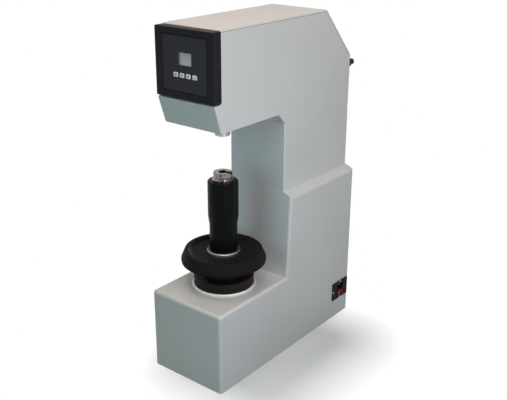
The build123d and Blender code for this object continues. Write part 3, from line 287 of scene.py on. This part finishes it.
def cast(name, colour, roughness):
    """Sand-cast iron under primer: a coarse skin with darker blotches."""
    skin_cells, skin_depth, skin_roughness = 350, 0.4 * MM, 0.2
    blotch_cells, blotch_shade = 12, 0.85
    finish = Finish(name, Metallic=0.2)
    skin = finish.noise(skin_cells, detail=5)
    clean = finish.noise(blotch_cells, detail=3).ramp(0.35, 0.7)
    finish.set("Base Color", finish.mix(clean, tone(colour, blotch_shade), colour))
    finish.set("Roughness", roughness + (skin - 0.5) * skin_roughness)
    finish.bump(skin, skin_depth)
    return finish.material


def display_field(name, colour, roughness):
    """A reflective display: a fine grid of dots under a smooth face."""
    dot_pitch, dot_shade, dot_roughness = 0.5 * MM, 0.9, 0.05
    finish = Finish(name, Coat_Weight=0.5, Coat_Roughness=0.08)
    x, _, z = finish.axes()
    turn = 2 * math.pi / dot_pitch
    dots = ((x * turn).sine() * (z * turn).sine()).ramp(-0.2, 0.9)
    finish.set("Base Color", finish.mix(dots, colour, tone(colour, dot_shade)))
    finish.set("Roughness", roughness - dots * dot_roughness)
    return finish.material


def clear_pane(name, colour, haze_colour, roughness):
    """A thin clear pane: what lies behind shows through, and its face still shines."""
    haze_cells, haze_roughness = 300, 0.04
    finish = Finish(name, Alpha=0.15)
    haze = finish.noise(haze_cells)
    finish.set("Base Color", finish.mix(haze, colour, haze_colour))
    finish.set("Roughness", roughness + haze * haze_roughness)
    return finish.material


def circuit_board(name, laminate, copper, roughness):
    """Green laminate with copper runs under the mask."""
    cells, run_edge, run_end, laminate_gloss = 90, 0.05, 0.08, 0.1
    finish = Finish(name, Coat_Weight=0.4, Coat_Roughness=0.2)
    inputs = {"Vector": finish.place, "Scale": cells}
    runs = finish.add("ShaderNodeTexVoronoi", {"feature": "DISTANCE_TO_EDGE"}, inputs)
    between = runs["Distance"].ramp(run_edge, run_end)
    finish.set("Base Color", finish.mix(between, copper, laminate))
    finish.set("Roughness", roughness - between * laminate_gloss)
    return finish.material


# ---- settings -----------------------------------------------------------------------


def colour_setting(label, text, default):
    return bpy.props.FloatVectorProperty(
        name=label, description=text, default=default, subtype="COLOR", size=3, min=0, max=1
    )


def power_setting(label, text, default):
    return bpy.props.FloatProperty(name=label, description=text, default=default, unit="POWER")


class TesterColours(bpy.types.PropertyGroup):
    """Colours of the tester's finishes."""

    housing: colour_setting("Housing", "Powder coat on the housings and cover", (0.62, 0.645, 0.64))
    wheel: colour_setting("Handwheel", "Black enamel on the handwheel", (0.012, 0.0115, 0.012))
    sleeves: colour_setting("Sleeves", "Lacquer on the screw's sleeves", (0.003, 0.004, 0.0045))
    # the collar's lacquer is black; its brown tint is a painted reddish-brown reflection
    collar: colour_setting("Collar", "Brownish black on the bearing collar", (0.012, 0.006, 0.005))
    bezel: colour_setting("Bezel", "Moulding of the display box", (0.006, 0.0065, 0.009))
    panel: colour_setting("Panel", "Foil on the recessed panel", (0.008, 0.009, 0.016))
    # the display's field is painted lighter than its own grey, to make up for the shade in its
    # recess behind the window
    display: colour_setting("Display", "The display's light grey field", (0.72, 0.68, 0.75))
    keys: colour_setting("Keys", "Pale key caps", (0.9, 0.89, 0.9))
    rocker: colour_setting("Rocker", "Red switch rocker", (0.22, 0.004, 0.007))


class TesterStage(bpy.types.PropertyGroup):
    """Camera, lamps and world."""

    focal_length: bpy.props.FloatProperty(
        name="Focal length", description="Lens of the camera, on a 36 mm wide sensor",
        default=56.47, unit="CAMERA",
    )
    top_left_power: power_setting("Top left lamp", "Warm lamp high at the left", 9.5)
    top_right_power: power_setting("Top right lamp", "Warm lamp high at the right", 15.5)
    side_power: power_setting("Side lamp", "Lamp low at the right", 5.1)
    high_side_power: power_setting("High side lamp", "Lamp high at the right", 8.9)
    front_power: power_setting("Front lamp", "Cool lamp in front", 8.9)
    rear_power: power_setting("Rear lamp", "Lamp behind and at the left", 20)
    world_strength: bpy.props.FloatProperty(
        name="World", description="Strength of the even light round the object", default=0.01
    )


# ---- finishes -----------------------------------------------------------------------


def paint(material, *names):
    for name in names:
        slots = nodes[name].data.materials
        slots.clear()
        slots.append(material)


class TESTER_OT_housing_finish(bpy.types.Operator):
    """Finish the housings, the cover and the casting inside them"""

    bl_idname = "tester.housing_finish"
    bl_label = "Housing Finish"

    coat_roughness = 0.42
    primer = (0.16, 0.18, 0.17)
    blackening = (0.07, 0.07, 0.075)
    along_x = (30, 1, 1)
    lip, seam_width, seam_end = 5 * MM, 0.8 * MM, 0.1 * MM

    def execute(self, context):
        housing = context.scene.tester_colours.housing
        paint(powder_coat("base_coat", housing, self.coat_roughness), "lower_housing")
        # the head's coat takes a painted shade line along the top cover's seam
        coat = powder_coat("head_coat", housing, self.coat_roughness, seam=self.cover_seam_painted_shade)
        paint(coat, "upper_housing", "top_cover")
        casting = cast("casting_primer", self.primer, roughness=0.75)
        paint(casting, "c_frame", "load_lever", "screw_support")
        plate = ground("blackened_plate", self.blackening, roughness=0.45, stretch=self.along_x)
        paint(plate, "base_plate", "motor_bracket", "foot_bolts", "nose_screw")
        return {"FINISHED"}

    def cover_seam_painted_shade(self, finish):
        """Painted shade and dirt along the seam: 1 on the line where the turned edge of the top
        cover ends, 0 away from it.
        """
        near = 0.01 * MM
        corners = [vertex.co for vertex in nodes["top_cover"].data.vertices]
        top = max(c.z for c in corners) - self.lip
        back = max(c.y for c in corners) - self.lip
        foot = min(c.z for c in corners)
        slope_start = max(c.y for c in corners if abs(c.z - top) < near)
        slope_end = max(c.z for c in corners if abs(c.y - back) < near)
        run, fall = back - slope_start, top - slope_end
        _, y, z = finish.axes()
        slope = ((slope_start - y) * fall + (top - z) * run) / math.hypot(run, fall)
        inside = (top - z).lesser(back - y).lesser(slope)
        edge = self.line(inside) * (z - foot).ramp(0, self.seam_end)
        flange = self.line(z - foot) * (y - back).ramp(0, self.seam_end)
        return edge + flange

    def line(self, distance):
        """1 within half the seam's width, fading to 0 at its whole width."""
        return 1 - distance.size().ramp(self.seam_width / 2, self.seam_width)


class TESTER_OT_lift_finish(bpy.types.Operator):
    """Finish the handwheel, the sleeves, the collar and the anvil seat"""

    bl_idname = "tester.lift_finish"
    bl_label = "Lift Finish"

    aluminium = (0.7, 0.69, 0.67)
    ring_enamel, ring_bare = (0.01, 0.01, 0.01), (0.6, 0.6, 0.6)
    ring_edge = 0.7 * MM
    seat_chrome = (0.32, 0.285, 0.285)
    nose_chrome = (0.35, 0.35, 0.36)
    steel = (0.55, 0.56, 0.58)
    black_oxide = (0.09, 0.09, 0.095)
    bronze = (0.55, 0.36, 0.16)

    def execute(self, context):
        colours = context.scene.tester_colours
        enamel = moulded(
            "wheel_enamel", colours.wheel,
            roughness=0.55, grain=1.1 * MM, depth=0.04 * MM, shine=0.03,
        )
        paint(enamel, "handwheel")
        lacquer = moulded(
            "sleeve_lacquer", colours.sleeves, roughness=0.35, grain=4 * MM, shine=0.06
        )
        paint(lacquer, "lower_sleeve", "upper_sleeve")
        lacquer = moulded(
            "collar_lacquer", colours.collar, roughness=0.5, grain=3 * MM, shine=0.15
        )
        paint(lacquer, "bearing_collar")
        bare_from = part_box("hub_ring")[1].x - self.ring_edge
        ring = edge_worn("hub_ring_enamel", self.ring_enamel, self.ring_bare, bare_from)
        paint(ring, "hub_ring")
        paint(turned("trim_aluminium", self.aluminium, roughness=0.6), "collar_trim")
        # the seat's strongly darkened patches are painted reflections of a dark and light room on
        # its chrome
        paint(turned("seat_chrome", self.seat_chrome, roughness=0.14, tone_and_reflection_dimming=0.25), "anvil_seat")
        paint(turned("nose_chrome", self.nose_chrome, roughness=0.25), "spindle")
        steel = turned("turned_steel", self.steel, roughness=0.25)
        paint(steel, "elevating_screw", "lower_race", "upper_race", "load_cell")
        bronze = turned("bronze", self.bronze, roughness=0.3)
        paint(bronze, "lift_nut", "guide_bush", "spindle_bush")
        paint(ground("black_oxide", self.black_oxide, roughness=0.35), "collar_screws")
        return {"FINISHED"}


class TESTER_OT_mechanism_finish(bpy.types.Operator):
    """Finish the loading mechanism inside the head and column"""

    bl_idname = "tester.mechanism_finish"
    bl_label = "Mechanism Finish"

    steel = (0.5, 0.51, 0.53)
    bronze = (0.5, 0.33, 0.15)
    motor = (0.04, 0.045, 0.05)
    zinc = (0.6, 0.6, 0.58)
    along_x = (30, 1, 1)

    def execute(self, context):
        bright = ground("ground_steel", self.steel, roughness=0.28)
        paint(bright, "bearing_balls", "guide_key", "lever_pin", "guide_rail", "load_screw")
        paint(bright, "driven_gear", "motor_pinion", "motor_shaft")
        paint(bright, "nut_screws", "inlet_screws", "inlet_contacts")
        drawn = ground("drawn_bronze", self.bronze, roughness=0.32)
        paint(drawn, "lever_bush", "screw_bearing", "load_nut")
        paint(powder_coat("motor_coat", self.motor, roughness=0.5), "drive_motor")
        zinc = ground("zinc_plate", self.zinc, roughness=0.4, stretch=self.along_x)
        paint(zinc, "power_supply", "board_standoffs")
        return {"FINISHED"}


class TESTER_OT_controls_finish(bpy.types.Operator):
    """Finish the display box, the keys, the power inlet and the cover knobs"""

    bl_idname = "tester.controls_finish"
    bl_label = "Controls Finish"

    inlet = (0.003, 0.003, 0.003)
    knob = (0.005, 0.005, 0.0055)
    pane, pane_haze = (0.75, 0.76, 0.78), (0.8, 0.8, 0.82)
    laminate, copper = (0.008, 0.09, 0.04), (0.03, 0.2, 0.08)

    def execute(self, context):
        colours = context.scene.tester_colours
        bezel = moulded(
            "bezel_moulding", colours.bezel,
            roughness=0.5, grain=0.9 * MM, depth=0.03 * MM, shine=0.1,
        )
        paint(bezel, "front_bezel")
        foil = moulded(
            "panel_foil", colours.panel,
            roughness=0.5, grain=0.5 * MM, depth=0.01 * MM, shine=0.2,
        )
        paint(foil, "panel_plate")
        cap = moulded(
            "key_cap", colours.keys, roughness=0.4, grain=0.6 * MM, depth=0.01 * MM, wear=1.1
        )
        paint(cap, *[f"key_{key}" for key in KEYS])
        inlet = moulded(
            "inlet_moulding", self.inlet, roughness=0.4, depth=0.03 * MM, shine=0.04
        )
        paint(inlet, "inlet_plate", "inlet_socket", "switch_body")
        rocker = moulded(
            "rocker_red", colours.rocker,
            roughness=0.3, grain=3 * MM, depth=0.01 * MM, shine=0.1,
        )
        paint(rocker, "power_rocker")
        knob = moulded("knob_black", self.knob, roughness=0.4, shine=0.12)
        paint(knob, "cover_knob_left", "cover_knob_right")
        field = display_field("display_field", colours.display, roughness=0.4)
        paint(field, "display_module")
        pane = clear_pane("clear_pane", self.pane, self.pane_haze, roughness=0.04)
        paint(pane, "display_window")
        board = circuit_board("circuit_board", self.laminate, self.copper, roughness=0.45)
        paint(board, "control_board")
        return {"FINISHED"}


# ---- modelling by hand --------------------------------------------------------------


def clear_selection():
    if bpy.context.object and bpy.context.object.mode != "OBJECT":
        bpy.ops.object.mode_set(mode="OBJECT")
    bpy.ops.object.select_all(action="DESELECT")


def name_piece(name):
    """Names the active object and its mesh."""
    piece = bpy.context.object
    piece.name = name
    piece.data.name = name
    return piece


def apply_place(piece):
    """Puts the piece's place and turn in its mesh."""
    clear_selection()
    piece.select_set(True)
    bpy.context.view_layer.objects.active = piece
    bpy.ops.object.transform_apply(location=True, rotation=True, scale=True)


def join(name, pieces):
    """Makes one piece of several."""
    clear_selection()
    for piece in pieces:
        piece.select_set(True)
    bpy.context.view_layer.objects.active = pieces[0]
    bpy.ops.object.join()
    return name_piece(name)


def rectangle(left, bottom, right, top):
    return [(left, bottom), (right, bottom), (right, top), (left, top)]


class TESTER_OT_key_signs(bpy.types.Operator):
    """Print a sign on each key: bars, two arrows and a return arrow"""

    bl_idname = "tester.key_signs"
    bl_label = "Key Signs"

    ink_colour = (0.03, 0.03, 0.035)
    thickness = 0.12 * MM
    # millimetres from the middle of the key
    bar_levels, bar_reach, bar_half = (-1.9, 0, 1.9), 3.2, 0.4
    head_reach, head_height = 2.6, 2.8
    stem_half, stem_length = 0.9, 2.6
    return_head = [(-3.4, -0.6), (-1.2, -2.4), (-1.2, 1.2)]
    return_line = [(-1.2, -1), (3, -1), (3, 2.2), (2.2, 2.2), (2.2, -0.2), (-1.2, -0.2)]

    def execute(self, context):
        ink = moulded(
            "sign_ink", self.ink_colour, roughness=0.5, grain=0.5 * MM, depth=0.005 * MM
        )
        outlines = {
            "menu": self.bars(),
            "up": self.arrow(1),
            "down": self.arrow(-1),
            "enter": [self.return_head, self.return_line],
        }
        for key in KEYS:
            low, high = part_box(f"key_{key}")
            centre = Vector(((low.x + high.x) / 2, low.y, (low.z + high.z) / 2))
            shapes = [self.flat(centre, outline) for outline in outlines[key]]
            sign = join(f"sign_{key}", shapes)
            sign.data.materials.clear()
            sign.data.materials.append(ink)
            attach(sign, key)
        return {"FINISHED"}

    def bars(self):
        reach, half = self.bar_reach, self.bar_half
        return [rectangle(-reach, level - half, reach, level + half) for level in self.bar_levels]

    def arrow(self, way):
        """A head and a stem, pointing up for 1 and down for -1."""
        reach, half = self.head_reach, self.stem_half
        head = [(-reach, 0), (reach, 0), (0, self.head_height * way)]
        return [head, rectangle(-half, 0, half, -self.stem_length * way)]

    def flat(self, centre, outline):
        """A thin printed shape: a disc's corners moved to the outline, then its thickness."""
        clear_selection()
        bpy.ops.mesh.primitive_circle_add(
            vertices=len(outline), radius=MM, fill_type="NGON",
            location=centre, rotation=(math.pi / 2, 0, 0),
        )
        shape = name_piece("shape")
        apply_place(shape)
        for vertex, (x, z) in zip(shape.data.vertices, outline):
            vertex.co = centre + Vector((x * MM, 0, z * MM))
        bpy.ops.object.mode_set(mode="EDIT")
        bpy.ops.mesh.select_all(action="SELECT")
        bpy.ops.mesh.extrude_region_move(TRANSFORM_OT_translate={"value": (0, -self.thickness, 0)})
        bpy.ops.mesh.select_all(action="SELECT")
        bpy.ops.mesh.normals_make_consistent(inside=False)
        bpy.ops.object.mode_set(mode="OBJECT")
        return shape


# ---- stage --------------------------------------------------------------------------


class TESTER_OT_stage(bpy.types.Operator):
    """Set the floor, the lamps, the world and the camera"""

    bl_idname = "tester.stage"
    bl_label = "Stage"

    sensor_width = 36
    warm = (1, 0.77, 0.66)
    cool = (0.5, 0.98, 0.97)
    blue_white, green_white = (0.87, 0.88, 1), (0.93, 1, 0.93)
    lamps_aim = Vector((0, 0.14, 0.45))
    floor_size = 60
    # the shaded floor's cool tint is painted, to cancel the warm colour of the lamps on it
    floor_grey, floor_shaded = (0.14, 0.14, 0.14), (0.7, 0.745, 0.76)
    # the floor's grey rectangle, which takes the shadow, and the distances past it over which it
    # fades to plain white; the rectangle sits right of the object's foot, so the floor's painted
    # white glow hides the real shadow on the left and trims it at the front and back
    shaded_x, shaded_half_x = 0.1, 0.08
    shaded_y, shaded_half_y = 0.095, 0.145
    fade_start, fade_end = 0.03, 0.2

    def execute(self, context):
        scene = context.scene
        settings = scene.tester_stage
        scene.view_settings.view_transform = "Standard"
        self.floor()
        self.world(scene, settings.world_strength)
        # name, place, size, power and colour
        lamps = (
            ("top_left_lamp", (-0.5, -0.5, 2.6), 0.8, settings.top_left_power, self.warm),
            ("top_right_lamp", (0.5, -0.5, 2.3), 1.4, settings.top_right_power, self.warm),
            ("side_lamp", (1.0, -0.4, 0.65), 0.8, settings.side_power, self.blue_white),
            ("high_side_lamp", (1.6, 0.05, 1.55), 1.0, settings.high_side_power, self.green_white),
            ("front_lamp", (-0.2, -2.2, 1.0), 1.4, settings.front_power, self.cool),
            ("rear_lamp", (-0.8, 2.2, 0.4), 0.8, settings.rear_power, WHITE),
        )
        for name, place, size, power, colour in lamps:
            self.lamp(scene, name, Vector(place), size, power, colour)
        self.camera(scene, settings.focal_length)
        return {"FINISHED"}

    def floor(self):
        """A sheet that takes the shadow near the object and glows plain white further out, where
        the glow hides the shadow.
        """
        clear_selection()
        bpy.ops.mesh.primitive_plane_add(size=self.floor_size, location=(0, 0, 0))
        floor = name_piece("floor")
        cover = Finish("floor_cover", Roughness=1.0, Emission_Strength=1.0, Specular_IOR_Level=0.0)
        x, y, _ = cover.axes()
        beside = x.beyond(self.shaded_x, self.shaded_half_x)
        along = y.beyond(self.shaded_y, self.shaded_half_y)
        distance = (beside * beside + along * along) ** 0.5
        away = distance.ramp(self.fade_start, self.fade_end)
        rays = cover.add("ShaderNodeLightPath")
        seen = rays["Is Camera Ray"] + rays["Is Glossy Ray"] + rays["Is Transmission Ray"]
        seen = seen.ramp(0, 1)
        shaded = cover.mix(away, self.floor_shaded, BLACK)
        cover.set("Base Color", cover.mix(seen, self.floor_grey, shaded))
        cover.set("Emission Color", cover.mix(seen * away, BLACK, WHITE))
        floor.data.materials.append(cover.material)

    def world(self, scene, strength):
        """Even light, which is plain white where it is seen, mirrored or seen through."""
        scene.world = bpy.data.worlds.new("even_light")
        tree = NodeTree(scene.world)
        shown = tree.add("ShaderNodeBackground", {}, {"Color": WHITE, "Strength": 1})
        lighting = tree.add("ShaderNodeBackground", {}, {"Color": WHITE, "Strength": strength})
        rays = tree.add("ShaderNodeLightPath")
        seen = rays["Is Camera Ray"].greater(rays["Is Glossy Ray"])
        seen = seen.greater(rays["Is Transmission Ray"])
        inputs = (seen, lighting["Background"], shown["Background"])
        surface = tree.add("ShaderNodeMixShader", {}, inputs)["Shader"]
        tree.add("ShaderNodeOutputWorld", {}, {"Surface": surface})

    def lamp(self, scene, name, place, size, power, colour):
        """A round lamp that points at the object and isn't seen itself."""
        lamp_data = bpy.data.lights.new(name, "AREA")
        lamp_data.shape = "DISK"
        lamp_data.size = size
        lamp_data.energy = power
        lamp_data.color = colour
        lamp = bpy.data.objects.new(name, lamp_data)
        lamp.visible_camera = False
        lamp.location = place
        lamp.rotation_euler = (self.lamps_aim - place).to_track_quat("-Z", "Y").to_euler()
        scene.collection.objects.link(lamp)

    def camera(self, scene, focal_length):
        """A camera at the right of the front, turned, pitched down and rolled in radians."""
        place = Vector((1.22593, -1.409146, 1.179903))
        turn, pitch, roll = 0.675, 0.3723, 0.004
        outward = math.cos(pitch)
        back = Vector((math.sin(turn) * outward, -math.cos(turn) * outward, math.sin(pitch)))
        level = Vector((math.cos(turn), math.sin(turn), 0))
        over = back.cross(level)
        right = math.cos(roll) * level + math.sin(roll) * over
        upward = math.cos(roll) * over - math.sin(roll) * level
        camera_data = bpy.data.cameras.new("camera")
        camera_data.lens = focal_length
        camera_data.sensor_width = self.sensor_width
        camera = bpy.data.objects.new("camera", camera_data)
        turned_to = Matrix((right, upward, back)).transposed().to_4x4()
        camera.matrix_world = Matrix.Translation(place) @ turned_to
        scene.collection.objects.link(camera)
        scene.camera = camera


# ---- panel and registration ---------------------------------------------------------

OPERATORS = (
    TESTER_OT_housing_finish,
    TESTER_OT_lift_finish,
    TESTER_OT_mechanism_finish,
    TESTER_OT_controls_finish,
    TESTER_OT_key_signs,
    TESTER_OT_stage,
)


class TESTER_PT_panel(bpy.types.Panel):
    """Sidebar panel with the tester's steps and settings"""

    bl_label = "Hardness Tester"
    bl_idname = "TESTER_PT_panel"
    bl_space_type = "VIEW_3D"
    bl_region_type = "UI"
    bl_category = "Hardness Tester"

    def draw(self, context):
        for operator in OPERATORS:
            self.layout.operator(operator.bl_idname)
        for group in (context.scene.tester_colours, context.scene.tester_stage):
            box = self.layout.box()
            for setting in group.__annotations__:
                box.prop(group, setting)


CLASSES = (TesterColours, TesterStage, *OPERATORS, TESTER_PT_panel)


def register():
    for item in CLASSES:
        bpy.utils.register_class(item)
    bpy.types.Scene.tester_colours = bpy.props.PointerProperty(type=TesterColours)
    bpy.types.Scene.tester_stage = bpy.props.PointerProperty(type=TesterStage)


def unregister():
    del bpy.types.Scene.tester_stage
    del bpy.types.Scene.tester_colours
    for item in reversed(CLASSES):
        bpy.utils.unregister_class(item)


def main():
    register()
    bpy.ops.tester.housing_finish()
    bpy.ops.tester.lift_finish()
    bpy.ops.tester.mechanism_finish()
    bpy.ops.tester.controls_finish()
    bpy.ops.tester.key_signs()
    bpy.ops.tester.stage()


if __name__ == "__main__":
    main()
